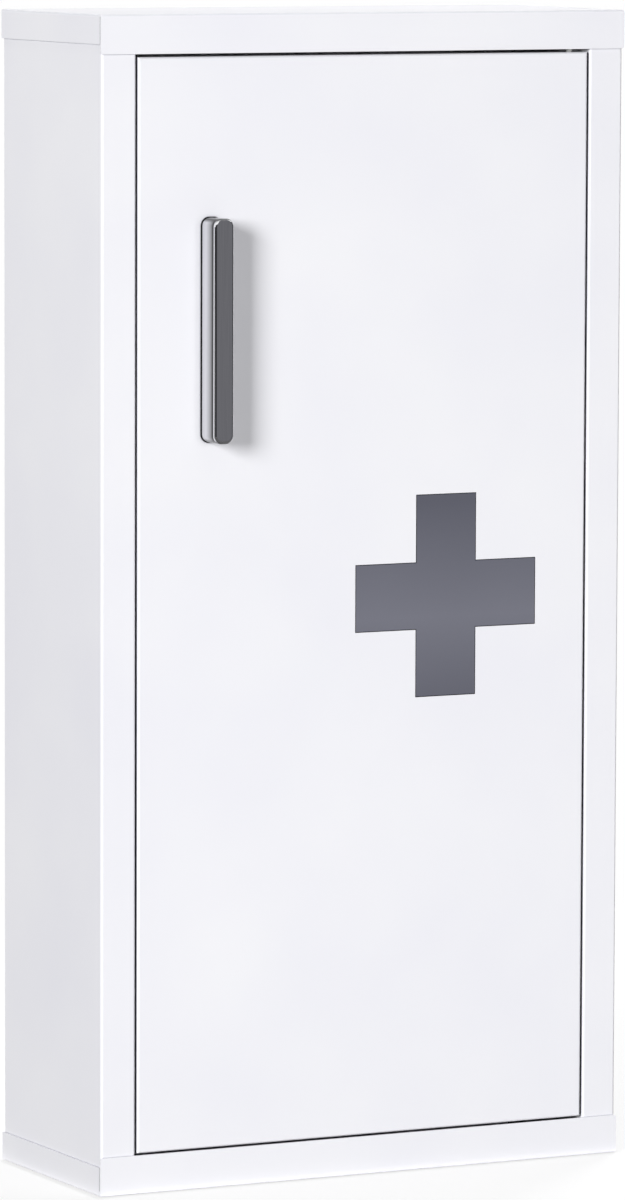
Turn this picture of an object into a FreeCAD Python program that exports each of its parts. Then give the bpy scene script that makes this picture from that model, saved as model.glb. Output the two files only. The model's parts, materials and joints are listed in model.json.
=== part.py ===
import FreeCAD, Part
import math
import os

from FreeCAD import Vector

# A wall-hung medicine cabinet of folded, white-coated steel sheet, in millimetres.
# Two caps close a back panel and two side panels, and one flush door hangs on pivot pins at its right edge.
# X runs to the right, Y towards the wall and Z up. The origin is the centre of the face on the wall.

# Carcass
cabinet_width = 300.0
cabinet_height = 600.0
cabinet_depth = 120.0
sheet = 0.8
bend_inside = 0.4
cap_front_lip = 20.0
cap_side_lip = 15.0
lip_corner = 1.5
corner_slit = 0.4
post_width = 20.0
post_depth = 32.0
rear_flange = 18.0
tab_width = 16.0
tab_length = 64.0

# Screw holes for the wall
wall_hole_radius = 3.25
wall_hole_spacing_x = 200.0
wall_hole_spacing_z = 460.0

# Shelves and the rails that carry them
shelf_flange = 12.0
shelf_clearance = 0.5
rail_sheet = 1.2
rail_width = 14.0
rail_height = 14.0
rail_end_gap = 3.0
shelf_screw_inset = 12.0

# Door
door_gap = 1.2
door_drop = 0.4
door_thickness = 16.0
door_return = 12.0

# Cross window
cross_span = 105.0
cross_arm = 35.0
cross_edge_margin = 29.0
pane_overlap = 10.0
pane_thickness = 2.0
pane_joint = 0.4
tape_thickness = 0.4
tape_width = 8.0

# Pivot hinge
pivot_inset = 8.8
pivot_setback = 4.5
pin_radius = 1.5
pin_head_radius = 3.2
pin_head_height = 1.6
pin_tip = 1.0
pivot_plate_thickness = 2.0
pivot_plate_length = 22.0
pivot_plate_margin = 2.0
bush_wall = 1.0
bush_flange_radius = 4.0
bush_flange_thickness = 1.2
running_clearance = 0.05
thrust_gap = 0.1
thrust_washer_radius = 3.0
bracket_sheet = 2.0
bracket_bend_inside = 1.0
bracket_recess = 0.4
bracket_length = 30.0
bracket_margin = 1.0
bracket_depth = 24.0

# Handle
handle_width = 11.0
handle_length = 114.0
handle_depth = 15.4
handle_corner = 4.2
handle_edge = 1.5
handle_edge_margin = 35.3
handle_top_margin = 81.1
handle_screw_inset = 9.0
handle_hole_end = 1.1
gasket_thickness = 0.6
gasket_margin = 0.35

# Magnetic catch
catch_height = 26.0
catch_depth = 13.0
catch_thickness = 12.0
catch_ear_length = 10.0
catch_ear_thickness = 3.0
catch_edge = 1.0
catch_wall = 2.0
catch_back_wall = 3.0
magnet_gap = 0.3
magnet_recess = 0.5
pole_thickness = 1.5
pole_reach = 1.0

# Fasteners
screw_radius = 2.0
screw_head_radius = 4.0
screw_head_height = 2.2
head_edge_share = 0.45
handle_screw_length = 10.0
shelf_screw_length = 8.0
catch_screw_radius = 1.5
catch_screw_length = 8.0
catch_head_radius = 2.8
catch_head_height = 1.8
recess_width_share = 0.26
recess_span_share = 1.15
recess_depth_share = 0.5
washer_radius = 4.5
washer_thickness = 0.8
stud_length = 8.0
stud_foot_radius = 2.75
stud_foot_height = 0.6
nut_flats = 7.0
nut_height = 4.0
nut_flange_radius = 4.5
nut_flange_height = 1.0
fastener_clearance = 0.1
hole_clearance = 0.3
overrun = 1.0
tolerance = 1e-6

# Places that follow from the sizes above
half_width = cabinet_width / 2
half_height = cabinet_height / 2
bend_radius = sheet + bend_inside
side_outer_x = half_width - sheet
side_inner_x = side_outer_x - sheet
post_inner_x = half_width - post_width
front_y = -(cabinet_depth - sheet)
jamb_end_y = front_y + post_depth
back_y = -sheet
flange_y = back_y - sheet
ceiling_z = half_height - sheet
wall_end_z = ceiling_z - bend_radius

door_half_width = post_inner_x - door_gap
door_half_height = half_height - cap_front_lip - door_gap
door_back_y = front_y + door_thickness
cross_x = door_half_width - cross_edge_margin - cross_span / 2

pivot_x = door_half_width - pivot_inset
pivot_y = front_y + pivot_setback
bush_radius = pin_radius + running_clearance + bush_wall
web_z = half_height - cap_front_lip + bracket_recess
bush_end_z = web_z + bracket_sheet + bush_flange_thickness

handle_x = -door_half_width + handle_edge_margin + handle_width / 2
handle_z = door_half_height - handle_top_margin - handle_length / 2
handle_back_y = front_y - gasket_thickness
handle_screw_spacing = handle_length - 2 * handle_screw_inset
handle_screw_z = [handle_z + side * handle_screw_spacing / 2 for side in (-1, 1)]
handle_screw_grip = handle_screw_length - washer_thickness - sheet - gasket_thickness

shelf_back_y = flange_y - shelf_clearance
shelf_front_y = jamb_end_y + shelf_clearance
rail_front_y = shelf_front_y + bend_radius + rail_end_gap
rail_back_y = shelf_back_y - bend_radius - rail_end_gap
shelf_names = ["lower", "upper"]
tier_pitch = 2 * ceiling_z / (len(shelf_names) + 1)
shelf_tops = [-ceiling_z + tier_pitch * (index + 1) for index in range(len(shelf_names))]
shelf_screw_x = side_inner_x - rail_width / 2
shelf_screw_y = [rail_front_y + shelf_screw_inset, rail_back_y - shelf_screw_inset]

tab_y = (jamb_end_y + flange_y) / 2
stud_x = side_outer_x - tab_width / 2
stud_y = [tab_y + side * tab_length / 4 for side in (-1, 1)]

catch_front_y = door_back_y + magnet_gap + pole_reach
catch_x = -post_inner_x
pocket_depth = catch_depth - catch_back_wall
pole_height = catch_height - 2 * catch_wall
pole_stack = catch_thickness - 2 * catch_wall
pole_low_x = catch_x + catch_wall
magnet_thickness = pole_stack - 2 * pole_thickness
catch_screw_z = [handle_z + side * (catch_height + catch_ear_length) / 2 for side in (-1, 1)]

ORIGIN = Vector(0, 0, 0)
X_AXIS = Vector(1, 0, 0)
Y_AXIS = Vector(0, 1, 0)
Z_AXIS = Vector(0, 0, 1)


def box(x, y, z):
    """A block between the low and high values given for each axis."""
    low = Vector(x[0], y[0], z[0])
    return Part.makeBox(x[1] - x[0], y[1] - y[0], z[1] - z[0], low)


def cylinder(radius, start, along):
    """A round bar from a point, with the length and direction of a vector."""
    return Part.makeCylinder(radius, along.Length, start, along)


def mirrored(shape, axis):
    """The same piece on the other side of the origin, across the plane square to an axis."""
    return shape.mirror(ORIGIN, axis)


def moved(shape, place, direction=Z_AXIS):
    """A piece made along Z at the origin, turned to a direction and set down at a place."""
    copy = shape.copy()
    copy.Placement = FreeCAD.Placement(place, FreeCAD.Rotation(Z_AXIS, direction))
    return copy


def edges_where(shape, test):
    """The edges whose middle point passes a test."""
    return [edge for edge in shape.Edges if test(edge.CenterOfMass)]


def near(value, target):
    """True where two lengths agree to the modelling tolerance."""
    return abs(value - target) < tolerance


def rounded_path(points, radius):
    """Edges of an open path through the points, with an arc at each inner corner."""
    edges = []
    start = points[0]
    for before, corner, after in zip(points, points[1:], points[2:]):
        inward = (before - corner).normalize()
        outward = (after - corner).normalize()
        half_angle = inward.getAngle(outward) / 2
        reach = radius / math.tan(half_angle)
        depth = radius / math.sin(half_angle) - radius
        first = corner + inward * reach
        last = corner + outward * reach
        middle = corner + (inward + outward).normalize() * depth
        edges.append(Part.LineSegment(start, first).toShape())
        edges.append(Part.Arc(first, middle, last).toShape())
        start = last
    edges.append(Part.LineSegment(start, points[-1]).toShape())
    return edges


def folded_sheet(points, along, thickness, inside_radius):
    """A strip folded square along the points, which lie outside its folds, and drawn out along a vector."""
    axis = Vector(along).normalize()
    headings = [(after - before).normalize() for before, after in zip(points, points[1:])]
    insets = [heading.cross(axis) * thickness for heading in headings]
    inner = [points[0] + insets[0]]
    inner += [corner + first + second for corner, first, second in zip(points[1:-1], insets, insets[1:])]
    inner.append(points[-1] + insets[-1])
    edges = rounded_path(points, inside_radius + thickness) + rounded_path(inner, inside_radius)
    edges.append(Part.LineSegment(points[0], inner[0]).toShape())
    edges.append(Part.LineSegment(points[-1], inner[-1]).toShape())
    wire = Part.Wire(Part.__sortEdges__(edges))
    return Part.Face(wire).extrude(along)


def cross_prism(span, arm, y):
    """A plus-shaped block centred on the cross window, between two depths."""
    tall = box((cross_x - arm / 2, cross_x + arm / 2), y, (-span / 2, span / 2))
    wide = box((cross_x - span / 2, cross_x + span / 2), y, (-arm / 2, arm / 2))
    return tall.fuse(wide).removeSplitter()


def drive_recess(head_radius, head_height):
    """The two crossed slots that take the screwdriver, cut down from the top of a head."""
    half_slot = head_radius * recess_width_share / 2
    half_span = head_radius * recess_span_share / 2
    z = (head_height * (1 - recess_depth_share), head_height + overrun)
    first = box((-half_span, half_span), (-half_slot, half_slot), z)
    second = box((-half_slot, half_slot), (-half_span, half_span), z)
    return first.fuse(second)


def screw(radius, length, head_radius, head_height):
    """A pan-head screw along Z: the head stands on the plane Z = 0 and the shank runs down from it."""
    head = cylinder(head_radius, ORIGIN, Z_AXIS * head_height)
    rim = edges_where(head, lambda middle: near(middle.z, head_height))
    head = head.makeFillet(head_height * head_edge_share, rim)
    shank = cylinder(radius, ORIGIN, Z_AXIS * -length)
    return head.fuse(shank).cut(drive_recess(head_radius, head_height)).removeSplitter()


def flange_nut():
    """A hexagon nut with a round flange that bears on the plane Z = 0."""
    corner = nut_flats / math.sqrt(3)
    ring = [Vector(corner * math.cos(turn), corner * math.sin(turn), 0)
            for turn in [math.radians(60) * step for step in range(7)]]
    hexagon = Part.Face(Part.makePolygon(ring)).extrude(Z_AXIS * nut_height)
    flange = cylinder(nut_flange_radius, ORIGIN, Z_AXIS * nut_flange_height)
    through = Z_AXIS * (nut_height + 2 * overrun)
    bore = cylinder(screw_radius + fastener_clearance, Z_AXIS * -overrun, through)
    return hexagon.fuse(flange).cut(bore).removeSplitter()


def make_top_cap():
    """A shallow folded tray, open below and at the back, with lips at its front and sides."""
    low_z = half_height - cap_front_lip
    outer = box((-half_width, half_width), (-cabinet_depth, 0), (low_z, half_height))
    folds = edges_where(outer, lambda middle: near(middle.z, half_height) and not near(middle.y, 0))
    outer = outer.makeFillet(bend_radius, folds)
    inner = box((-side_outer_x, side_outer_x), (front_y, overrun), (low_z - overrun, ceiling_z))
    folds = edges_where(inner, lambda middle: near(middle.z, ceiling_z) and not near(middle.y, overrun))
    cap = outer.cut(inner.makeFillet(bend_inside, folds))
    across = (-half_width - overrun, half_width + overrun)
    seam = box(across, (front_y, front_y + corner_slit), (low_z - overrun, half_height - bend_radius))
    trim = box(across, (front_y, overrun), (low_z - overrun, half_height - cap_side_lip))
    cap = cap.cut([seam, trim])
    lip_y = (front_y - cabinet_depth) / 2
    corners = edges_where(cap, lambda middle: near(middle.y, lip_y) and near(middle.z, low_z))
    corners = [edge for edge in corners if near(abs(edge.CenterOfMass.x), half_width)]
    return cap.makeFillet(lip_corner, corners)


def make_side_panel():
    """The left panel: its wall, the post beside the door, a flange at the back and a tab at each end."""
    outline = [
        Vector(-post_inner_x, jamb_end_y, -wall_end_z),
        Vector(-post_inner_x, front_y, -wall_end_z),
        Vector(-side_outer_x, front_y, -wall_end_z),
        Vector(-side_outer_x, back_y, -wall_end_z),
        Vector(-side_outer_x + rear_flange, back_y, -wall_end_z),
    ]
    wall = folded_sheet(outline, Z_AXIS * (2 * wall_end_z), sheet, bend_inside)
    tab_start_y = tab_y + tab_length / 2
    fold = [
        Vector(-side_outer_x, tab_start_y, wall_end_z - sheet),
        Vector(-side_outer_x, tab_start_y, ceiling_z),
        Vector(-side_outer_x + tab_width, tab_start_y, ceiling_z),
    ]
    tab = folded_sheet(fold, Y_AXIS * -tab_length, sheet, bend_inside)
    for y in stud_y:
        start = Vector(-stud_x, y, ceiling_z + overrun)
        tab = tab.cut(cylinder(stud_foot_radius + hole_clearance, start, Z_AXIS * -(sheet + 2 * overrun)))
    return wall.fuse([tab, mirrored(tab, Z_AXIS)]).removeSplitter()


def make_left_side_panel():
    """The left panel with the two holes for the catch's screws in its jamb."""
    panel = make_side_panel()
    for z in catch_screw_z:
        start = Vector(catch_x + overrun, catch_front_y + catch_depth / 2, z)
        hole = cylinder(catch_screw_radius + fastener_clearance, start, X_AXIS * -(sheet + 2 * overrun))
        panel = panel.cut(hole)
    return panel


def make_back_panel():
    """The sheet on the wall, as wide as the flat of the side panels' flanges, with four screw holes."""
    edge_x = side_outer_x - bend_radius
    panel = box((-edge_x, edge_x), (back_y, 0), (-ceiling_z, ceiling_z))
    for x in (-wall_hole_spacing_x / 2, wall_hole_spacing_x / 2):
        for z in (-wall_hole_spacing_z / 2, wall_hole_spacing_z / 2):
            start = Vector(x, back_y - overrun, z)
            panel = panel.cut(cylinder(wall_hole_radius, start, Y_AXIS * (sheet + 2 * overrun)))
    return panel


def shelf_holes(top_z, radius):
    """Four upright bars where the screws of one shelf pass."""
    length = sheet + rail_sheet + 2 * overrun
    places = [Vector(side * shelf_screw_x, y, top_z + overrun) for side in (-1, 1) for y in shelf_screw_y]
    return [cylinder(radius, place, Z_AXIS * -length) for place in places]


def make_shelf(top_z):
    """A shelf folded down along its front and back edges, drilled for its four screws."""
    half_shelf = side_inner_x - shelf_clearance
    outline = [
        Vector(half_shelf, shelf_back_y, top_z - shelf_flange),
        Vector(half_shelf, shelf_back_y, top_z),
        Vector(half_shelf, shelf_front_y, top_z),
        Vector(half_shelf, shelf_front_y, top_z - shelf_flange),
    ]
    shelf = folded_sheet(outline, X_AXIS * (-2 * half_shelf), sheet, bend_inside)
    return shelf.cut(shelf_holes(top_z, screw_radius + hole_clearance))


def make_left_rail(top_z):
    """The angle on the left wall that carries one end of a shelf."""
    seat_z = top_z - sheet
    outline = [
        Vector(-side_inner_x + rail_width, rail_front_y, seat_z),
        Vector(-side_inner_x, rail_front_y, seat_z),
        Vector(-side_inner_x, rail_front_y, seat_z - rail_height),
    ]
    rail = folded_sheet(outline, Y_AXIS * (rail_back_y - rail_front_y), rail_sheet, bend_inside)
    return rail.cut(shelf_holes(top_z, screw_radius + hole_clearance))


def make_shelf_screws():
    """The screws that hold both shelves, heads up."""
    one = screw(screw_radius, shelf_screw_length, screw_head_radius, screw_head_height)
    places = [Vector(side * shelf_screw_x, y, top_z)
              for top_z in shelf_tops for side in (-1, 1) for y in shelf_screw_y]
    return Part.makeCompound([moved(one, place) for place in places])


def make_shelf_nuts():
    """The flange nuts under the rails."""
    under = sheet + rail_sheet
    places = [Vector(side * shelf_screw_x, y, top_z - under)
              for top_z in shelf_tops for side in (-1, 1) for y in shelf_screw_y]
    return Part.makeCompound([moved(flange_nut(), place, -Z_AXIS) for place in places])


def make_cap_studs():
    """Welded studs on the inner faces of both caps."""
    foot = cylinder(stud_foot_radius, ORIGIN, Z_AXIS * stud_foot_height)
    stud = foot.fuse(cylinder(screw_radius, ORIGIN, Z_AXIS * stud_length)).removeSplitter()
    return Part.makeCompound([moved(stud, Vector(side * stud_x, y, end * ceiling_z), Z_AXIS * -end)
                              for end in (-1, 1) for side in (-1, 1) for y in stud_y])


def make_cap_nuts():
    """The flange nuts that clamp the side panels' tabs to the caps."""
    seat_z = ceiling_z - sheet
    return Part.makeCompound([moved(flange_nut(), Vector(side * stud_x, y, end * seat_z), Z_AXIS * -end)
                              for end in (-1, 1) for side in (-1, 1) for y in stud_y])


def make_upper_bracket():
    """A folded channel inside the top cap that holds the upper bush."""
    right_x = post_inner_x - bracket_margin
    left_x = right_x - bracket_length
    start_y = front_y + bend_inside
    outline = [
        Vector(left_x, start_y, ceiling_z),
        Vector(left_x, start_y, web_z),
        Vector(right_x, start_y, web_z),
        Vector(right_x, start_y, ceiling_z),
    ]
    bracket = folded_sheet(outline, Y_AXIS * bracket_depth, bracket_sheet, bracket_bend_inside)
    start = Vector(pivot_x, pivot_y, web_z - overrun)
    hole = cylinder(bush_radius + fastener_clearance, start, Z_AXIS * (bracket_sheet + 2 * overrun))
    return bracket.cut(hole)


def make_upper_bush():
    """A flanged bearing bush: its barrel fills the bracket's hole and its flange lies inside the bracket."""
    barrel = cylinder(bush_radius, Vector(pivot_x, pivot_y, web_z), Z_AXIS * (bush_end_z - web_z))
    seat = Vector(pivot_x, pivot_y, web_z + bracket_sheet)
    flange = cylinder(bush_flange_radius, seat, Z_AXIS * bush_flange_thickness)
    start = Vector(pivot_x, pivot_y, web_z - overrun)
    through = Z_AXIS * (bush_end_z - web_z + 2 * overrun)
    return flange.fuse(barrel).cut(cylinder(pin_radius + running_clearance, start, through)).removeSplitter()


def make_thrust_washer():
    """The washer on the lower bracket that carries the door's weight."""
    height = web_z - door_half_height - door_drop - thrust_gap
    start = Vector(pivot_x, pivot_y, -web_z)
    washer = cylinder(thrust_washer_radius, start, Z_AXIS * height)
    bore_start = Vector(pivot_x, pivot_y, -web_z - overrun)
    bore = cylinder(pin_radius + running_clearance, bore_start, Z_AXIS * (height + 2 * overrun))
    return washer.cut(bore)


def make_upper_pin():
    """The headed pin that stands out of the door's top edge and turns in the bush."""
    seat_z = door_half_height - sheet - pivot_plate_thickness
    end_z = bush_end_z + pin_tip
    foot = Vector(pivot_x, pivot_y, seat_z)
    head = cylinder(pin_head_radius, foot, Z_AXIS * -pin_head_height)
    return head.fuse(cylinder(pin_radius, foot, Z_AXIS * (end_z - seat_z))).removeSplitter()


def make_upper_pivot_plate():
    """The plate inside the door's top edge that the pin is riveted to."""
    top_z = door_half_height - sheet
    high_x = door_half_width - sheet - pivot_plate_margin
    x = (high_x - pivot_plate_length, high_x)
    y = (front_y + bend_radius, door_back_y - bend_radius)
    plate = box(x, y, (top_z - pivot_plate_thickness, top_z))
    start = Vector(pivot_x, pivot_y, top_z - pivot_plate_thickness - overrun)
    hole = cylinder(pin_radius + fastener_clearance, start, Z_AXIS * (pivot_plate_thickness + 2 * overrun))
    return plate.cut(hole)


def pan_folds(shape, front, back):
    """The edges along the front and back faces of a block."""
    return edges_where(shape, lambda middle: near(middle.y, front) or near(middle.y, back))


def make_door_panel():
    """The folded door: a face with the cross cut out of it, four edges and a return behind each edge."""
    across = (-door_half_width, door_half_width)
    upright = (-door_half_height, door_half_height)
    outer = box(across, (front_y, door_back_y), upright)
    outer = outer.makeFillet(bend_radius, pan_folds(outer, front_y, door_back_y))
    room_x = door_half_width - sheet
    room_z = door_half_height - sheet
    room_y = (front_y + sheet, door_back_y - sheet)
    room = box((-room_x, room_x), room_y, (-room_z, room_z))
    room = room.makeFillet(bend_inside, pan_folds(room, *room_y))
    mouth_x = door_half_width - door_return
    mouth_z = door_half_height - door_return
    mouth = box((-mouth_x, mouth_x), (room_y[1] - overrun, door_back_y + overrun), (-mouth_z, mouth_z))
    window = cross_prism(cross_span, cross_arm, (front_y - overrun, front_y + sheet + overrun))
    cuts = [room, mouth, window]
    for z in handle_screw_z:
        start = Vector(handle_x, front_y - overrun, z)
        cuts.append(cylinder(screw_radius + hole_clearance, start, Y_AXIS * (sheet + 2 * overrun)))
    start = Vector(pivot_x, pivot_y, -door_half_height - overrun)
    through = Z_AXIS * (2 * door_half_height + 2 * overrun)
    cuts.append(cylinder(pin_radius + fastener_clearance, start, through))
    return outer.cut(cuts)


def make_cross_pane():
    """A tinted plate behind the door's face, with a raised cross that fills the window flush."""
    plate_y = front_y + sheet + tape_thickness
    half = cross_span / 2 + pane_overlap
    plate = box((cross_x - half, cross_x + half), (plate_y, plate_y + pane_thickness), (-half, half))
    raised = cross_prism(cross_span - 2 * pane_joint, cross_arm - 2 * pane_joint, (front_y, plate_y))
    return plate.fuse(raised).removeSplitter()


def make_pane_tape():
    """The square ring of adhesive tape between the pane and the door's face."""
    outer = cross_span / 2 + pane_overlap
    inner = outer - tape_width
    low_y = front_y + sheet
    high_y = low_y + tape_thickness
    ring = box((cross_x - outer, cross_x + outer), (low_y, high_y), (-outer, outer))
    hole = box((cross_x - inner, cross_x + inner), (low_y - overrun, high_y + overrun), (-inner, inner))
    return ring.cut(hole)


def handle_block(y, margin):
    """A bar with round corners between two depths, larger than the handle by a margin all round."""
    half_x = handle_width / 2 + margin
    half_z = handle_length / 2 + margin
    bar = box((handle_x - half_x, handle_x + half_x), y, (handle_z - half_z, handle_z + half_z))
    middle_y = (y[0] + y[1]) / 2
    corners = edges_where(bar, lambda middle: near(middle.y, middle_y))
    return bar.makeFillet(handle_corner + margin, corners)


def make_handle():
    """The solid bar handle, with two blind holes for its screws."""
    face_y = handle_back_y - handle_depth
    handle = handle_block((face_y, handle_back_y), 0)
    handle = handle.makeFillet(handle_edge, edges_where(handle, lambda middle: near(middle.y, face_y)))
    for z in handle_screw_z:
        start = Vector(handle_x, handle_back_y, z)
        depth = handle_screw_grip + handle_hole_end
        handle = handle.cut(cylinder(screw_radius + fastener_clearance, start, Y_AXIS * -depth))
    return handle


def make_handle_gasket():
    """The dark pad between the handle and the door's face, which stands out a little all round."""
    gasket = handle_block((handle_back_y, front_y), gasket_margin)
    for z in handle_screw_z:
        start = Vector(handle_x, handle_back_y - overrun, z)
        hole = cylinder(screw_radius + hole_clearance, start, Y_AXIS * (gasket_thickness + 2 * overrun))
        gasket = gasket.cut(hole)
    return gasket


def make_handle_screws():
    """The two screws that pass through the door's face into the handle."""
    one = screw(screw_radius, handle_screw_length, screw_head_radius, screw_head_height)
    seat_y = front_y + sheet + washer_thickness
    return Part.makeCompound([moved(one, Vector(handle_x, seat_y, z), Y_AXIS) for z in handle_screw_z])


def make_handle_washers():
    """The flat washers under the handle screws."""
    washer = cylinder(washer_radius, ORIGIN, Z_AXIS * washer_thickness)
    through = Z_AXIS * (washer_thickness + 2 * overrun)
    washer = washer.cut(cylinder(screw_radius + hole_clearance, Z_AXIS * -overrun, through))
    places = [Vector(handle_x, front_y + sheet, z) for z in handle_screw_z]
    return Part.makeCompound([moved(washer, place, Y_AXIS) for place in places])


def make_catch_housing():
    """The moulded body of the magnetic catch, with a screw ear at each end and a pocket for the magnet."""
    y = (catch_front_y, catch_front_y + catch_depth)
    face_x = catch_x + catch_thickness
    body = box((catch_x, face_x), y, (handle_z - catch_height / 2, handle_z + catch_height / 2))
    body = body.makeFillet(catch_edge, edges_where(body, lambda middle: near(middle.x, face_x)))
    half_ears = catch_height / 2 + catch_ear_length
    ears = box((catch_x, catch_x + catch_ear_thickness), y, (handle_z - half_ears, handle_z + half_ears))
    low_x = pole_low_x - fastener_clearance
    high_x = pole_low_x + pole_stack + fastener_clearance
    half_pocket = pole_height / 2 + fastener_clearance
    pocket = box((low_x, high_x), (catch_front_y - overrun, catch_front_y + pocket_depth),
                 (handle_z - half_pocket, handle_z + half_pocket))
    housing = body.fuse(ears).cut(pocket)
    for z in catch_screw_z:
        start = Vector(catch_x - overrun, catch_front_y + catch_depth / 2, z)
        through = X_AXIS * (catch_ear_thickness + 2 * overrun)
        housing = housing.cut(cylinder(catch_screw_radius + hole_clearance, start, through))
    return housing.removeSplitter()


def make_catch_magnet():
    """The magnet bar between the two pole plates."""
    low_x = pole_low_x + pole_thickness
    y = (catch_front_y + magnet_recess, catch_front_y + pocket_depth)
    z = (handle_z - pole_height / 2, handle_z + pole_height / 2)
    return box((low_x, low_x + magnet_thickness), y, z)


def make_pole_plates():
    """The two steel plates that stand out of the catch towards the door."""
    y = (catch_front_y - pole_reach, catch_front_y + pocket_depth)
    z = (handle_z - pole_height / 2, handle_z + pole_height / 2)
    starts = (pole_low_x, pole_low_x + pole_thickness + magnet_thickness)
    return Part.makeCompound([box((x, x + pole_thickness), y, z) for x in starts])


def make_catch_screws():
    """The two screws that hold the catch to the left jamb."""
    one = screw(catch_screw_radius, catch_screw_length, catch_head_radius, catch_head_height)
    x = catch_x + catch_ear_thickness
    y = catch_front_y + catch_depth / 2
    return Part.makeCompound([moved(one, Vector(x, y, z), X_AXIS) for z in catch_screw_z])


def make_door_nodes():
    """The pieces that swing, made about the middle of the opening and lowered to where the door hangs."""
    nodes = {
        "door_panel": make_door_panel(),
        "cross_pane": make_cross_pane(),
        "pane_tape": make_pane_tape(),
        "upper_pivot_plate": make_upper_pivot_plate(),
        "lower_pivot_plate": mirrored(make_upper_pivot_plate(), Z_AXIS),
        "upper_pivot_pin": make_upper_pin(),
        "lower_pivot_pin": mirrored(make_upper_pin(), Z_AXIS),
        "handle": make_handle(),
        "handle_gasket": make_handle_gasket(),
        "handle_screws": make_handle_screws(),
        "handle_washers": make_handle_washers(),
    }
    return {name: piece.translated(Z_AXIS * -door_drop) for name, piece in nodes.items()}


def make_nodes():
    """Every piece of the cabinet under its own name."""
    nodes = {
        "top_cap": make_top_cap(),
        "bottom_cap": mirrored(make_top_cap(), Z_AXIS),
        "left_side_panel": make_left_side_panel(),
        "right_side_panel": mirrored(make_side_panel(), X_AXIS),
        "back_panel": make_back_panel(),
        "shelf_screws": make_shelf_screws(),
        "shelf_nuts": make_shelf_nuts(),
        "cap_studs": make_cap_studs(),
        "cap_nuts": make_cap_nuts(),
        "upper_hinge_bracket": make_upper_bracket(),
        "lower_hinge_bracket": mirrored(make_upper_bracket(), Z_AXIS),
        "upper_pivot_bush": make_upper_bush(),
        "lower_pivot_bush": mirrored(make_upper_bush(), Z_AXIS),
        "hinge_thrust_washer": make_thrust_washer(),
        "catch_housing": make_catch_housing(),
        "catch_magnet": make_catch_magnet(),
        "catch_pole_plates": make_pole_plates(),
        "catch_screws": make_catch_screws(),
    }
    for name, top_z in zip(shelf_names, shelf_tops):
        nodes[name + "_shelf"] = make_shelf(top_z)
        nodes[name + "_left_shelf_rail"] = make_left_rail(top_z)
        nodes[name + "_right_shelf_rail"] = mirrored(make_left_rail(top_z), X_AXIS)
    return {**nodes, **make_door_nodes()}


os.makedirs("parts", exist_ok=True)
for node_name, node_shape in make_nodes().items():
    node_shape.exportStep(os.path.join("parts", node_name + ".step"))
    print(node_name, len(node_shape.Solids), round(node_shape.Volume, 1), node_shape.isValid())
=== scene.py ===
# %% [markdown]
# # A wall-hung medicine cabinet
# The cabinet is folded from thin steel sheet and coated white. One flush door carries a bright bar
# handle and a grey cross-shaped window. This lesson loads the finished construction, gives every
# surface the finish that the real one has, and then lights and frames it as a studio would. The
# construction already has its sizes, so nothing is moved: the work here is in the surfaces and in
# the light.

# %% Load the cabinet
import json
import math

import bmesh
import bpy
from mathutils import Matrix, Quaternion, Vector

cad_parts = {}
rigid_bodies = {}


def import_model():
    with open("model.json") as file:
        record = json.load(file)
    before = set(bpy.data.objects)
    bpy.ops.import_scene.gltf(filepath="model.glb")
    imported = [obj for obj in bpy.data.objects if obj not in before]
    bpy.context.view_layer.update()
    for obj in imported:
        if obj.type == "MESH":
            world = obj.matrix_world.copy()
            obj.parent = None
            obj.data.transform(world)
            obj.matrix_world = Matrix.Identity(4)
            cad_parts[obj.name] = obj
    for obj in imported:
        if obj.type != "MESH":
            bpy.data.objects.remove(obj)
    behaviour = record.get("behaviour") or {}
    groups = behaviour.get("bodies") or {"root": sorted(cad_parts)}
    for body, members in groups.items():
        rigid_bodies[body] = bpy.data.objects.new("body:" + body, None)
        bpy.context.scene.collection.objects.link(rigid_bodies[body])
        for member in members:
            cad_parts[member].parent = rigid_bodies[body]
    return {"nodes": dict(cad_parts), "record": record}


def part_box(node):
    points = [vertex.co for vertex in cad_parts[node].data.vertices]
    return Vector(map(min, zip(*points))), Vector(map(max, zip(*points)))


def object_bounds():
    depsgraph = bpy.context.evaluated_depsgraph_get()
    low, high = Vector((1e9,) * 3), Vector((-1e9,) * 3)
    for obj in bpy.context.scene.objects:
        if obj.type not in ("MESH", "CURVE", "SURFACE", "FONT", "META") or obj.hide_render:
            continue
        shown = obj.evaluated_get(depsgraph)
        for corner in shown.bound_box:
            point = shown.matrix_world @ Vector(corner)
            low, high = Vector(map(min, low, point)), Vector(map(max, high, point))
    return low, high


for leftover in list(bpy.data.objects):
    bpy.data.objects.remove(leftover)
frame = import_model()
cad_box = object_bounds()
nodes = frame["nodes"]

# %% [markdown]
# ## Small helpers
# A finish is a little network of shader nodes. Written out by hand, each node takes three or four
# lines, and the network is lost among them. One helper that adds a node, sets it and links it keeps
# every finish readable. Colours are written as the hex values a paint chart would give, and one
# function turns them to the linear values that the renderer works in. Pattern sizes are written in
# millimetres, and the scene itself is in metres.

# %% Helpers for colour, pattern size and shader nodes
MM = 0.001

# The Mix node has one set of sockets for numbers and one for colours, told apart only by position.
MIX_SHARE, NUMBER_A, NUMBER_B, COLOUR_A, COLOUR_B, COLOUR_OUT = 0, 2, 3, 6, 7, 2
MULTIPLY_COLOURS = {"data_type": "RGBA", "blend_type": "MULTIPLY", MIX_SHARE: 1.0}


def linear(code):
    """The linear colour of an sRGB hex value."""
    channels = [int(code[start:start + 2], 16) / 255 for start in (0, 2, 4)]
    return (*[c / 12.92 if c <= 0.04045 else ((c + 0.055) / 1.055) ** 2.4 for c in channels], 1.0)


def repeats_per_metre(size_mm):
    """The texture scale that makes a pattern's marks this many millimetres across."""
    return 1000.0 / size_mm


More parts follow.
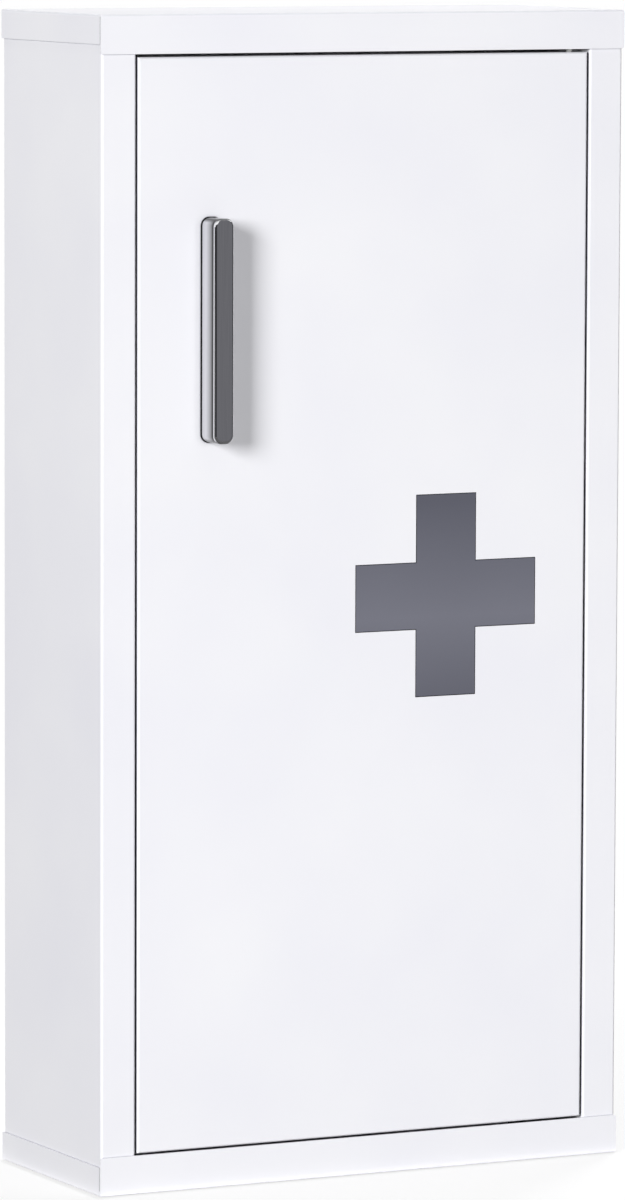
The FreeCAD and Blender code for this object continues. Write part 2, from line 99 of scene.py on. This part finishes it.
def add_node(tree, kind, settings=None, links=None):
    """Adds a node, sets its inputs and properties by name, and links sockets to its inputs."""
    node = tree.nodes.new(kind)
    for key, value in (settings or {}).items():
        if isinstance(key, int) or key in node.inputs:
            node.inputs[key].default_value = value
        else:
            setattr(node, key, value)
    for key, socket in (links or {}).items():
        tree.links.new(socket, node.inputs[key])
    return node


def start_finish(name):
    """A new material with an empty network, and the node that gives places on the piece itself."""
    material = bpy.data.materials.new(name)
    material.use_nodes = True
    tree = material.node_tree
    tree.nodes.clear()
    place = add_node(tree, "ShaderNodeTexCoord").outputs["Object"]
    return material, tree, place


def set_ramp(node, stops):
    """Gives a colour ramp its stops: pairs of a position and a hex colour."""
    ramp = node.color_ramp
    while len(ramp.elements) < len(stops):
        ramp.elements.new(1.0)
    for element, (position, code) in zip(ramp.elements, stops):
        element.position = position
        element.color = linear(code)
    return node


def close_finish(tree, settings, links):
    """Ends a network in one surface shader."""
    shader = add_node(tree, "ShaderNodeBsdfPrincipled", settings, links)
    add_node(tree, "ShaderNodeOutputMaterial", links={"Surface": shader.outputs[0]})


print("helpers ready; white paint F2F2F7 is", [round(c, 3) for c in linear("F2F2F7")])

# %% [markdown]
# ## White powder coat
# The steel is sprayed with dry polyester powder and baked. The powder melts into an even, satin skin
# with a faint orange peel, a ripple about a millimetre and a half across. It could be one plain
# white, but then broad faces look like paper. Here the ripple bends the light very slightly and the
# sheen drifts over the panel. The colour also carries painted shade: it darkens where another sheet
# stands close in front of it, nearly to black deep in a gap, and takes a thin grey line along each
# folded seam. Faces that look down are left out of this painted shade, and so is the foot, where the
# floor is what stands close. An upper bend is painted a shade greyer than the faces it joins.

# %% Satin white powder coat
COAT_TONES = [(0.3, "F0F0F6"), (0.7, "F4F4F8")]
COAT_SHEEN = {"To Min": 0.36, "To Max": 0.46}
COAT_SPECULAR = 0.45
DRIFT_MM = 90.0
PEEL_MM = 1.5
PEEL_RIPPLE = {"Strength": 0.06, "Distance": 0.2 * MM}
# Painted shade: the coat is darkened where other surfaces stand close, in gaps and along seams.
GAP_SHADE_LOOK = {"Distance": 2.0 * MM, "samples": 8}
PAINTED_GAP_SHADE_TONES = [(0.36, "0A0A0C"), (0.50, "C4C4C8"), (0.66, "F0F0F3"), (0.78, "FFFFFF")]
# Painted shade: upward bends are greyed a little.
BEND_SHADE_TONES = [(0.10, "FFFFFF"), (0.35, "EEEEEF"), (0.80, "EEEEEF"), (0.97, "FFFFFF")]
LOOKING_DOWN = {"From Min": -0.5, "From Max": -0.05}
FOOT_MM = 3.0


def make_powder_coat():
    """Baked satin white: even colour, soft sheen, faint ripple, painted shade in gaps and upper
    bends.
    """
    material, tree, place = start_finish("satin_white_powder_coat")
    drift = add_node(tree, "ShaderNodeTexNoise",
                     {"Scale": repeats_per_metre(DRIFT_MM), "Detail": 2.0}, {"Vector": place})
    peel = add_node(tree, "ShaderNodeTexNoise",
                    {"Scale": repeats_per_metre(PEEL_MM), "Detail": 1.5}, {"Vector": place})
    tone = add_node(tree, "ShaderNodeValToRGB", links={"Fac": drift.outputs["Fac"]})
    set_ramp(tone, COAT_TONES)
    # Painted shade in the gaps, from how close other surfaces stand.
    shade_nearness = add_node(tree, "ShaderNodeAmbientOcclusion", GAP_SHADE_LOOK)
    painted_gap_shade = add_node(tree, "ShaderNodeValToRGB", links={"Fac": shade_nearness.outputs["AO"]})
    set_ramp(painted_gap_shade, PAINTED_GAP_SHADE_TONES)
    facing = add_node(tree, "ShaderNodeNewGeometry").outputs["Normal"]
    upward = add_node(tree, "ShaderNodeSeparateXYZ", links={"Vector": facing}).outputs["Z"]
    # Painted shade on upward bends.
    bend_shade = add_node(tree, "ShaderNodeValToRGB", links={"Fac": upward})
    set_ramp(bend_shade, BEND_SHADE_TONES)
    bend_shaded_tone = add_node(tree, "ShaderNodeMix", MULTIPLY_COLOURS,
                       {COLOUR_A: tone.outputs["Color"], COLOUR_B: bend_shade.outputs["Color"]})
    # Faces that look down and the foot are left out of the painted gap shade.
    not_facing_down = add_node(tree, "ShaderNodeMapRange", LOOKING_DOWN, {"Value": upward})
    height = add_node(tree, "ShaderNodeSeparateXYZ", links={"Vector": place}).outputs["Z"]
    foot_z = cad_box[0].z + FOOT_MM * MM
    above_foot = add_node(tree, "ShaderNodeMath", {"operation": "GREATER_THAN", 1: foot_z},
                          {0: height})
    painted_shade_share = add_node(tree, "ShaderNodeMath", {"operation": "MULTIPLY"},
                     {0: not_facing_down.outputs[0], 1: above_foot.outputs[0]})
    colour = add_node(tree, "ShaderNodeMix", MULTIPLY_COLOURS,
                      {MIX_SHARE: painted_shade_share.outputs[0], COLOUR_A: bend_shaded_tone.outputs[COLOUR_OUT],
                       COLOUR_B: painted_gap_shade.outputs["Color"]})
    sheen = add_node(tree, "ShaderNodeMapRange", COAT_SHEEN, {"Value": drift.outputs["Fac"]})
    ripple = add_node(tree, "ShaderNodeBump", PEEL_RIPPLE, {"Height": peel.outputs["Fac"]})
    close_finish(tree, {"Specular IOR Level": COAT_SPECULAR},
                 {"Base Color": colour.outputs[COLOUR_OUT], "Roughness": sheen.outputs[0],
                  "Normal": ripple.outputs[0]})
    return material


powder_coat = make_powder_coat()
print("finish:", powder_coat.name, "with ripple", PEEL_MM, "mm")

# %% [markdown]
# ## Bright chrome
# The handle is a zinc casting, polished and plated. A mirror has almost no colour of its own, so
# what it shows is the room, and the room is dressed further down. On top of that the plate's colour
# carries a painted reflection: the side of the bar is painted from light at the pad to dark at its
# front edge, and the rounded ends are painted darker than the rest, so the plate's tone follows the
# depth and the tilt of the surface. Fine polishing lines along the bar blur the mirror.

# %% Polished chrome plate
PLATE_TONES = [(0.3, "EAEAED"), (0.7, "F2F2F4")]
PLATE_BLUR = {"To Min": 0.04, "To Max": 0.10}
POLISH_LINE_MM = 0.5
POLISH_LINE_STRETCH = (1.0, 1.0, 0.02)
EDGE_ROUND_MM = 1.5
# Painted reflection: the side's tone falls from light at the pad to dark near the front edge.
SIDE_PAINTED_REFLECTION_TONES = [(0.36, "F5F5F5"), (0.62, "C6C6C6"), (0.80, "929292"),
              (0.86, "464646"), (0.975, "3E3E3E"), (0.99, "FFFFFF")]
# Painted reflection: the rounded ends are darker.
END_PAINTED_REFLECTION_TONES = [(0.45, "FFFFFF"), (0.80, "4A4A4A")]


def make_chrome():
    """Polished plate: a mirror with painted reflection, darker towards the front edge and ends, fine
    lines.
    """
    material, tree, place = start_finish("polished_chrome_plate")
    low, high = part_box("handle")
    side_depth = high.y - low.y - EDGE_ROUND_MM * MM
    # Painted reflection along the bar's depth and on its tilted ends.
    split = add_node(tree, "ShaderNodeSeparateXYZ", links={"Vector": place})
    forward = add_node(tree, "ShaderNodeMapRange",
                       {"From Min": high.y, "From Max": high.y - side_depth},
                       {"Value": split.outputs["Y"]})
    side_reflection_paint = add_node(tree, "ShaderNodeValToRGB", links={"Fac": forward.outputs[0]})
    set_ramp(side_reflection_paint, SIDE_PAINTED_REFLECTION_TONES)
    facing = add_node(tree, "ShaderNodeNewGeometry").outputs["True Normal"]
    upright = add_node(tree, "ShaderNodeSeparateXYZ", links={"Vector": facing}).outputs["Z"]
    tilt = add_node(tree, "ShaderNodeMath", {"operation": "ABSOLUTE"}, {0: upright})
    end_reflection_paint = add_node(tree, "ShaderNodeValToRGB", links={"Fac": tilt.outputs[0]})
    set_ramp(end_reflection_paint, END_PAINTED_REFLECTION_TONES)
    stretched = add_node(tree, "ShaderNodeMapping", {"Scale": POLISH_LINE_STRETCH},
                         {"Vector": place})
    lines = add_node(tree, "ShaderNodeTexNoise",
                     {"Scale": repeats_per_metre(POLISH_LINE_MM), "Detail": 3.0},
                     {"Vector": stretched.outputs[0]})
    tone = add_node(tree, "ShaderNodeValToRGB", links={"Fac": lines.outputs["Fac"]})
    set_ramp(tone, PLATE_TONES)
    colour = tone.outputs["Color"]
    for painted_reflection in (side_reflection_paint, end_reflection_paint):
        product = add_node(tree, "ShaderNodeMix", MULTIPLY_COLOURS,
                           {COLOUR_A: colour, COLOUR_B: painted_reflection.outputs["Color"]})
        colour = product.outputs[COLOUR_OUT]
    blur = add_node(tree, "ShaderNodeMapRange", PLATE_BLUR, {"Value": lines.outputs["Fac"]})
    close_finish(tree, {"Metallic": 1.0}, {"Base Color": colour, "Roughness": blur.outputs[0]})
    return material


chrome = make_chrome()
print("finish:", chrome.name, "with lines", POLISH_LINE_MM, "mm")

# %% [markdown]
# ## Smoked acrylic
# The cross is cut from cast acrylic tinted grey-blue. It is glossy and flat, so it shows a soft
# reflection over an even tint. Its colour also carries a painted reflection, lightest in a soft band
# just below the middle, and a slow drift of the tint breaks the band up, which keeps the cross from
# looking like a printed patch. Its sawn rim stands in the door's cut-out, and a thin dark line of
# painted shade is drawn round the cross where the door's edge stands close.

# %% Smoked acrylic
TINT_AND_SHEEN_TONES = [(0.0, "585964"), (1.0, "7A7B86")]
TINT_DRIFT_MM = 70.0
TINT_DRIFT_SHARE = 0.25
# Painted reflection: a lighter band across the cross, just below the middle.
SHEEN_BAND_BELOW_MIDDLE_MM = 11.0
SHEEN_BAND_REACH_MM = 60.0
SCUFF_MM = 6.0
ACRYLIC_BLUR = {"To Min": 0.1, "To Max": 0.2}
ACRYLIC_IOR = 1.49
# Painted shade round the rim, where the door's edge stands close.
JOINT_SHADE_TONES = [(0.50, "101014"), (0.80, "FFFFFF")]


def make_acrylic():
    """Cast acrylic: glossy, grey-blue, with a painted reflection band and painted shade round its
    rim.
    """
    material, tree, place = start_finish("smoked_cast_acrylic")
    low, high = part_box("cross_pane")
    # Painted reflection: a lighter band just below the middle.
    sheen_band_z = (low.z + high.z) / 2 - SHEEN_BAND_BELOW_MIDDLE_MM * MM
    split = add_node(tree, "ShaderNodeSeparateXYZ", links={"Vector": place})
    off = add_node(tree, "ShaderNodeMath", {"operation": "SUBTRACT", 1: sheen_band_z},
                   {0: split.outputs["Z"]})
    away = add_node(tree, "ShaderNodeMath", {"operation": "ABSOLUTE"}, {0: off.outputs[0]})
    painted_sheen_band = add_node(tree, "ShaderNodeMapRange",
                    {"From Max": SHEEN_BAND_REACH_MM * MM, "To Min": 1.0, "To Max": 0.0},
                    {"Value": away.outputs[0]})
    drift = add_node(tree, "ShaderNodeTexNoise",
                     {"Scale": repeats_per_metre(TINT_DRIFT_MM), "Detail": 1.0}, {"Vector": place})
    sheen_and_drift = add_node(tree, "ShaderNodeMix", {MIX_SHARE: TINT_DRIFT_SHARE},
                    {NUMBER_A: painted_sheen_band.outputs[0], NUMBER_B: drift.outputs["Fac"]})
    tone = add_node(tree, "ShaderNodeValToRGB", links={"Fac": sheen_and_drift.outputs[0]})
    set_ramp(tone, TINT_AND_SHEEN_TONES)
    # Painted shade at the rim, from how close the door stands.
    shade_nearness = add_node(tree, "ShaderNodeAmbientOcclusion", GAP_SHADE_LOOK)
    joint_shade = add_node(tree, "ShaderNodeValToRGB", links={"Fac": shade_nearness.outputs["AO"]})
    set_ramp(joint_shade, JOINT_SHADE_TONES)
    colour = add_node(tree, "ShaderNodeMix", MULTIPLY_COLOURS,
                      {COLOUR_A: tone.outputs["Color"], COLOUR_B: joint_shade.outputs["Color"]})
    scuffs = add_node(tree, "ShaderNodeTexNoise",
                      {"Scale": repeats_per_metre(SCUFF_MM), "Detail": 4.0}, {"Vector": place})
    blur = add_node(tree, "ShaderNodeMapRange", ACRYLIC_BLUR, {"Value": scuffs.outputs["Fac"]})
    close_finish(tree, {"IOR": ACRYLIC_IOR},
                 {"Base Color": colour.outputs[COLOUR_OUT], "Roughness": blur.outputs[0]})
    return material


acrylic = make_acrylic()
print("finish:", acrylic.name, "with index", ACRYLIC_IOR)

# %% [markdown]
# ## Hardware finishes
# Screws, nuts, studs and pins are zinc plated and passivated, which lays a thin milky skin over the
# soft grey mirror, with a faint blue and yellow bloom. The bushes are nylon, the brackets that hold
# them are painted black, the catch is moulded plastic with a fine grain, its magnet is sintered
# ferrite, the handle sits on a black rubber pad and the window on foam tape. They share one recipe,
# a speckle that tints the colour, varies the gloss and raises the grain, so one function makes them
# all from a table.

# %% Zinc, nylon, plastic, ferrite, rubber, acetal, paint and foam
GRAIN_HEIGHT_MM = 0.1
HARDWARE_FINISHES = {
    "milky_zinc_plate": {"dark": "C9CCD0", "light": "DEDFDA", "grain_mm": 2.5, "metal": 0.35,
                         "gloss": (0.30, 0.45), "relief": 0.02},
    "natural_nylon": {"dark": "DDD9CB", "light": "EAE7DC", "grain_mm": 1.5, "metal": 0.0,
                      "gloss": (0.40, 0.55), "relief": 0.05},
    "moulded_white_plastic": {"dark": "DCDCDC", "light": "E8E8E6", "grain_mm": 0.6, "metal": 0.0,
                              "gloss": (0.45, 0.60), "relief": 0.10},
    "sintered_ferrite": {"dark": "2B2B2E", "light": "3D3D40", "grain_mm": 0.8, "metal": 0.0,
                         "gloss": (0.60, 0.80), "relief": 0.15},
    "matt_black_rubber": {"dark": "0E0E10", "light": "19191B", "grain_mm": 0.8, "metal": 0.0,
                          "gloss": (0.60, 0.78), "relief": 0.10},
    "black_acetal": {"dark": "161618", "light": "232326", "grain_mm": 0.8, "metal": 0.0,
                     "gloss": (0.35, 0.50), "relief": 0.05},
    "satin_black_paint": {"dark": "151517", "light": "202023", "grain_mm": 1.2, "metal": 0.0,
                          "gloss": (0.35, 0.50), "relief": 0.06},
    "white_foam_tape": {"dark": "D2D2CC", "light": "E2E2DC", "grain_mm": 0.7, "metal": 0.0,
                        "gloss": (0.75, 0.90), "relief": 0.20},
}


def make_hardware_finish(name, recipe):
    """One speckled finish from its row in the table."""
    material, tree, place = start_finish(name)
    grain = add_node(tree, "ShaderNodeTexNoise",
                     {"Scale": repeats_per_metre(recipe["grain_mm"]), "Detail": 4.0},
                     {"Vector": place})
    tone = add_node(tree, "ShaderNodeValToRGB", links={"Fac": grain.outputs["Fac"]})
    set_ramp(tone, [(0.35, recipe["dark"]), (0.65, recipe["light"])])
    low, high = recipe["gloss"]
    gloss = add_node(tree, "ShaderNodeMapRange", {"To Min": low, "To Max": high},
                     {"Value": grain.outputs["Fac"]})
    relief = add_node(tree, "ShaderNodeBump",
                      {"Strength": recipe["relief"], "Distance": GRAIN_HEIGHT_MM * MM},
                      {"Height": grain.outputs["Fac"]})
    close_finish(tree, {"Metallic": recipe["metal"]},
                 {"Base Color": tone.outputs["Color"], "Roughness": gloss.outputs[0],
                  "Normal": relief.outputs[0]})
    return material


hardware = {name: make_hardware_finish(name, recipe) for name, recipe in HARDWARE_FINISHES.items()}
print("finishes:", ", ".join(hardware))

# %% [markdown]
# ## Dress every piece
# The record says which slot each piece's finish belongs to, so a table from slot to finish dresses
# them all, and a slot that is missing from the table stops the script instead of showing a plain
# colour.

# %% Put the finishes on the pieces
FINISH_OF_SLOT = {
    "white_powder_coat": powder_coat,
    "bright_chrome": chrome,
    "grey_acrylic": acrylic,
    "black_rubber": hardware["matt_black_rubber"],
    "zinc_plate": hardware["milky_zinc_plate"],
    "nylon": hardware["natural_nylon"],
    "catch_plastic": hardware["moulded_white_plastic"],
    "ferrite": hardware["sintered_ferrite"],
    "black_acetal": hardware["black_acetal"],
    "black_paint": hardware["satin_black_paint"],
    "foam_tape": hardware["white_foam_tape"],
}
for row in frame["record"]["subparts"]:
    mesh = nodes[row["node"]].data
    mesh.materials.clear()
    mesh.materials.append(FINISH_OF_SLOT[row["material_slot"]])

# %% [markdown]
# ## Sheets and rays
# The floor, the flags and the card further down are all flat sheets, so one helper makes them. The
# floor and the world look different to the camera than to the light that bounces about, so another
# helper tells the kinds of ray apart.

# %% Helpers for flat sheets and kinds of ray
def add_flat(name, reach_x, reach_y):
    """A flat rectangular mesh, made by one operator and scaled to its half sizes."""
    sheet = bmesh.new()
    bmesh.ops.create_grid(sheet, x_segments=1, y_segments=1, size=1.0)
    bmesh.ops.scale(sheet, verts=sheet.verts, vec=(reach_x, reach_y, 1.0))
    mesh = bpy.data.meshes.new(name)
    sheet.to_mesh(mesh)
    sheet.free()
    item = bpy.data.objects.new(name, mesh)
    bpy.context.scene.collection.objects.link(item)
    return item


def hide_from(item, *rays):
    """Makes an object unseen by the kinds of ray that are named."""
    for ray in rays:
        setattr(item, "visible_" + ray, False)


def seen_by(tree, *rays):
    """A socket that is 1 for the kinds of ray that are named and 0 for all others."""
    path = add_node(tree, "ShaderNodeLightPath")
    total = path.outputs[rays[0]]
    for ray in rays[1:]:
        either = add_node(tree, "ShaderNodeMath", {"operation": "MAXIMUM"},
                          {0: total, 1: path.outputs[ray]})
        total = either.outputs[0]
    return total


print("sheet and ray helpers ready")

# %% [markdown]
# ## Floor
# The cabinet stands on a plain pale floor that runs far enough back to fill the picture. A floor lit
# only by lamps is never as white as a studio sheet, so what the camera sees of it is mostly plain
# white. The rest is the lit floor, which keeps the shadow, and its share fades out away from the
# cabinet. Near the cabinet the plain white is set a little above 1 to make up for the lamps, so that
# open floor reads as white. To everything else the floor is grey, so that it throws little light up.

# %% Pale studio floor
FLOOR_REACH_M = 60.0
FLOOR_BOUNCE_TONE = "686868"
WHITE = "FFFFFF"
SHADOW_REACH_M = 0.9
NEAR_WHITE_SHARE = 0.60
NEAR_WHITE_LEVEL = 1.06

floor = add_flat("studio_floor", FLOOR_REACH_M, FLOOR_REACH_M)
floor.location.z = cad_box[0].z
floor_paint, floor_tree, floor_place = start_finish("pale_studio_floor")
looked_at = seen_by(floor_tree, "Is Camera Ray", "Is Transmission Ray")
tint = add_node(floor_tree, "ShaderNodeMix",
                {"data_type": "RGBA", COLOUR_A: linear(FLOOR_BOUNCE_TONE), COLOUR_B: linear(WHITE)},
                {MIX_SHARE: looked_at})
lit = add_node(floor_tree, "ShaderNodeBsdfDiffuse", links={"Color": tint.outputs[COLOUR_OUT]})
away = add_node(floor_tree, "ShaderNodeVectorMath", {"operation": "LENGTH"}, {0: floor_place})
glow = add_node(floor_tree, "ShaderNodeMapRange",
                {"From Max": SHADOW_REACH_M, "To Min": NEAR_WHITE_LEVEL},
                {"Value": away.outputs["Value"]})
white = add_node(floor_tree, "ShaderNodeEmission", {"Color": linear(WHITE)},
                 {"Strength": glow.outputs[0]})
fade = add_node(floor_tree, "ShaderNodeMapRange",
                {"From Max": SHADOW_REACH_M, "To Min": NEAR_WHITE_SHARE},
                {"Value": away.outputs["Value"]})
share = add_node(floor_tree, "ShaderNodeMath", {"operation": "MULTIPLY"},
                 {0: looked_at, 1: fade.outputs[0]})
blend = add_node(floor_tree, "ShaderNodeMixShader",
                 links={0: share.outputs[0], 1: lit.outputs[0], 2: white.outputs[0]})
add_node(floor_tree, "ShaderNodeOutputMaterial", links={"Surface": blend.outputs[0]})
floor.data.materials.append(floor_paint)
print("floor at height", round(floor.location.z, 3), "m")

# %% [markdown]
# ## World
# A packshot of a white object is lit from everywhere. The world gives that even part, at a low
# level. To the camera and to mirrors it is the white sheet that hangs behind the object, at full
# level.

# %% Soft studio world
WORLD_LEVEL = 0.045
SHEET_LEVEL = 1.0

world = bpy.data.worlds.new("soft_studio_world")
bpy.context.scene.world = world
world.use_nodes = True
world_tree = world.node_tree
world_tree.nodes.clear()
even = add_node(world_tree, "ShaderNodeBackground",
                {"Color": linear(WHITE), "Strength": WORLD_LEVEL})
sheet_white = add_node(world_tree, "ShaderNodeBackground",
                       {"Color": linear(WHITE), "Strength": SHEET_LEVEL})
plainly_seen = seen_by(world_tree, "Is Camera Ray", "Is Transmission Ray", "Is Glossy Ray")
chosen = add_node(world_tree, "ShaderNodeMixShader",
                  links={0: plainly_seen, 1: even.outputs[0], 2: sheet_white.outputs[0]})
add_node(world_tree, "ShaderNodeOutputWorld", links={"Surface": chosen.outputs[0]})
print("world level", WORLD_LEVEL, "and white sheet", SHEET_LEVEL)

# %% [markdown]
# ## Softboxes
# One softbox is stronger than the others so that shapes turn. It stands on the left and makes the
# handle's shadow. A broad front light lifts the door, one overhead lifts the top and a low strip
# lifts the lower edge. One behind on the right is for views of the back. Each lamp is set by the
# level it would give a white card that faces it, because watts alone say nothing at an unknown
# distance. Mirrors do not see the lamps; they see the sheet and the flags further down.

# %% Softboxes
front_middle = (0.0, cad_box[0].y, 0.0)
SOFTBOXES = {
    "left_key": {"place": (-5.87, -3.93, 1.70), "target": front_middle,
                 "width": 2.1, "height": 2.6, "level": 1.02},
    "front_fill": {"place": (0.1, -3.6, 0.22), "target": front_middle,
                   "width": 2.0, "height": 1.0, "level": 0.42},
    "overhead": {"place": (-0.2, 0.1, 2.0), "target": (0.0, -0.06, 0.3),
                 "width": 1.2, "height": 1.0, "level": 0.42},
    "low_strip": {"place": (0.0, -0.6, -0.22), "target": (0.0, -0.12, -0.25),
                  "width": 1.0, "height": 0.06, "level": 0.08},
    "behind": {"place": (2.6, 3.0, 1.4), "target": (0.0, 0.0, 0.0),
               "width": 2.0, "height": 2.0, "level": 1.10},
}


def aim(item, target):
    """Turns a lamp, a sheet or a camera to look from its place to a target."""
    item.rotation_mode = "QUATERNION"
    item.rotation_quaternion = (Vector(target) - item.location).to_track_quat("-Z", "Y")


def add_softbox(name, place, target, width, height, level):
    """A rectangular lamp that gives a white card at the target this level."""
    lamp = bpy.data.lights.new(name, "AREA")
    lamp.shape = "RECTANGLE"
    lamp.size = width
    lamp.size_y = height
    distance = (Vector(target) - Vector(place)).length
    lamp.energy = level * (math.pi * distance) ** 2
    item = bpy.data.objects.new(name, lamp)
    item.location = place
    aim(item, target)
    hide_from(item, "glossy", "camera")
    bpy.context.scene.collection.objects.link(item)
    print("softbox", name, "level", level, "watts", round(lamp.energy, 1))


for name, setup in SOFTBOXES.items():
    add_softbox(name, **setup)

# %% [markdown]
# ## Dark flags for the mirror
# In an all-white room chrome looks like white plastic. Photographers hang dark cloths where the
# mirror looks, out of the picture, so that the bar shows a dark face between bright edges. The grey
# front flag is what the bar's front face shows. The darker ones on the left and on the right are
# what its rounded edges show, and the last one stands behind on the left and takes the glare off the
# cabinet's side. Only reflections see them, and they take no light from anything else.

# %% Dark flags round the handle
FLAGS = {
    "front_flag": {"place": (0.75, -2.1, 1.8), "width": 2.2, "height": 5.0, "tone": "6E6E72"},
    "left_flag": {"place": (-1.31, -1.70, 0.1), "width": 2.7, "height": 1.6, "tone": "37373A"},
    "right_flag": {"place": (1.37, -0.52, 0.1), "width": 2.1, "height": 1.6, "tone": "464649"},
    "side_flag": {"place": (-1.05, 1.75, 0.1), "width": 2.4, "height": 2.4, "tone": "4A4A4E"},
}


def hang_flag(name, place, width, height, tone):
    """A dark cloth that faces the cabinet and shows in reflections only."""
    flag = add_flat(name, width / 2, height / 2)
    flag.location = place
    aim(flag, (handle_middle.x, handle_middle.y, place[2]))
    cloth = bpy.data.materials.new(name + "_cloth")
    cloth.use_nodes = True
    cloth.node_tree.nodes.clear()
    dull = add_node(cloth.node_tree, "ShaderNodeEmission", {"Color": linear(tone), "Strength": 1.0})
    add_node(cloth.node_tree, "ShaderNodeOutputMaterial", links={"Surface": dull.outputs[0]})
    flag.data.materials.append(cloth)
    hide_from(flag, "camera", "diffuse", "transmission", "volume_scatter", "shadow")
    reach = (flag.location - handle_middle).length
    print("flag", name, "hung", round(reach, 2), "m from the handle")


handle_low, handle_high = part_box("handle")
handle_middle = (handle_low + handle_high) / 2
for name, setup in FLAGS.items():
    hang_flag(name, **setup)

# %% [markdown]
# ## White card round the foot
# The last millimetres of the cabinet look at the floor and would draw a grey line along its lower
# edge. A white card laid round the foot throws light up into that edge. It hides nothing: the camera
# does not see it, and it casts no shadow.

# %% White card
CARD_MARGIN_MM = 3.0
CARD_LIFT_MM = 0.2
PAPER_FIBRE_MM = 1.0
PAPER_TONES = [(0.3, "E6E6E6"), (0.7, "EEEEEE")]
PAPER_ROUGHNESS = 0.9

foot_low, foot_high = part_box("bottom_cap")
half_size = (foot_high - foot_low) / 2
card = add_flat("foot_card", half_size.x + CARD_MARGIN_MM * MM, half_size.y + CARD_MARGIN_MM * MM)
card.location = foot_low + half_size
card.location.z = foot_low.z + CARD_LIFT_MM * MM
paper, paper_tree, paper_place = start_finish("white_card_paper")
fibre = add_node(paper_tree, "ShaderNodeTexNoise", {"Scale": repeats_per_metre(PAPER_FIBRE_MM)},
                 {"Vector": paper_place})
shade = add_node(paper_tree, "ShaderNodeValToRGB", links={"Fac": fibre.outputs["Fac"]})
set_ramp(shade, PAPER_TONES)
close_finish(paper_tree, {"Roughness": PAPER_ROUGHNESS}, {"Base Color": shade.outputs["Color"]})
card.data.materials.append(paper)
hide_from(card, "camera", "glossy", "transmission", "shadow")
print("card laid", CARD_MARGIN_MM, "mm wide round the foot")

# %% [markdown]
# ## Camera
# The picture was taken from the left and a little above, from about four metres with a long lens,
# which keeps the upright edges nearly parallel. A shifted lens would bring the corners a pixel or
# two closer to the picture, but it would also push the cabinet out of the frame in every other view,
# so the lens is centred. The place, the turn and the lens below put the corners within about four
# pixels of where they are in a picture 625 pixels wide and 1200 high.

# %% Camera
PICTURE_LONG_SIDE_PX = 1200
FOCAL_LENGTH_PX = 7424.3
SENSOR_MM = 36.0
CAMERA_PLACE = (-1.7376, -3.4901, 0.3938)
CAMERA_YAW_DEG = 26.868
CAMERA_PITCH_DEG = 5.946
CAMERA_ROLL_DEG = 0.196

lens = bpy.data.cameras.new("picture_camera")
lens.sensor_width = SENSOR_MM
lens.lens = FOCAL_LENGTH_PX * SENSOR_MM / PICTURE_LONG_SIDE_PX
camera = bpy.data.objects.new("picture_camera", lens)
camera.location = CAMERA_PLACE
yaw = math.radians(CAMERA_YAW_DEG)
pitch = math.radians(CAMERA_PITCH_DEG)
level_part = math.cos(pitch)
ahead = Vector((math.sin(yaw) * level_part, math.cos(yaw) * level_part, -math.sin(pitch)))
aim(camera, camera.location + ahead)
roll = Quaternion((0.0, 0.0, 1.0), math.radians(CAMERA_ROLL_DEG))
camera.rotation_quaternion = camera.rotation_quaternion @ roll
bpy.context.scene.collection.objects.link(camera)
bpy.context.scene.camera = camera
bpy.context.scene.view_settings.view_transform = "Standard"
print("lens", round(lens.lens, 1), "mm")
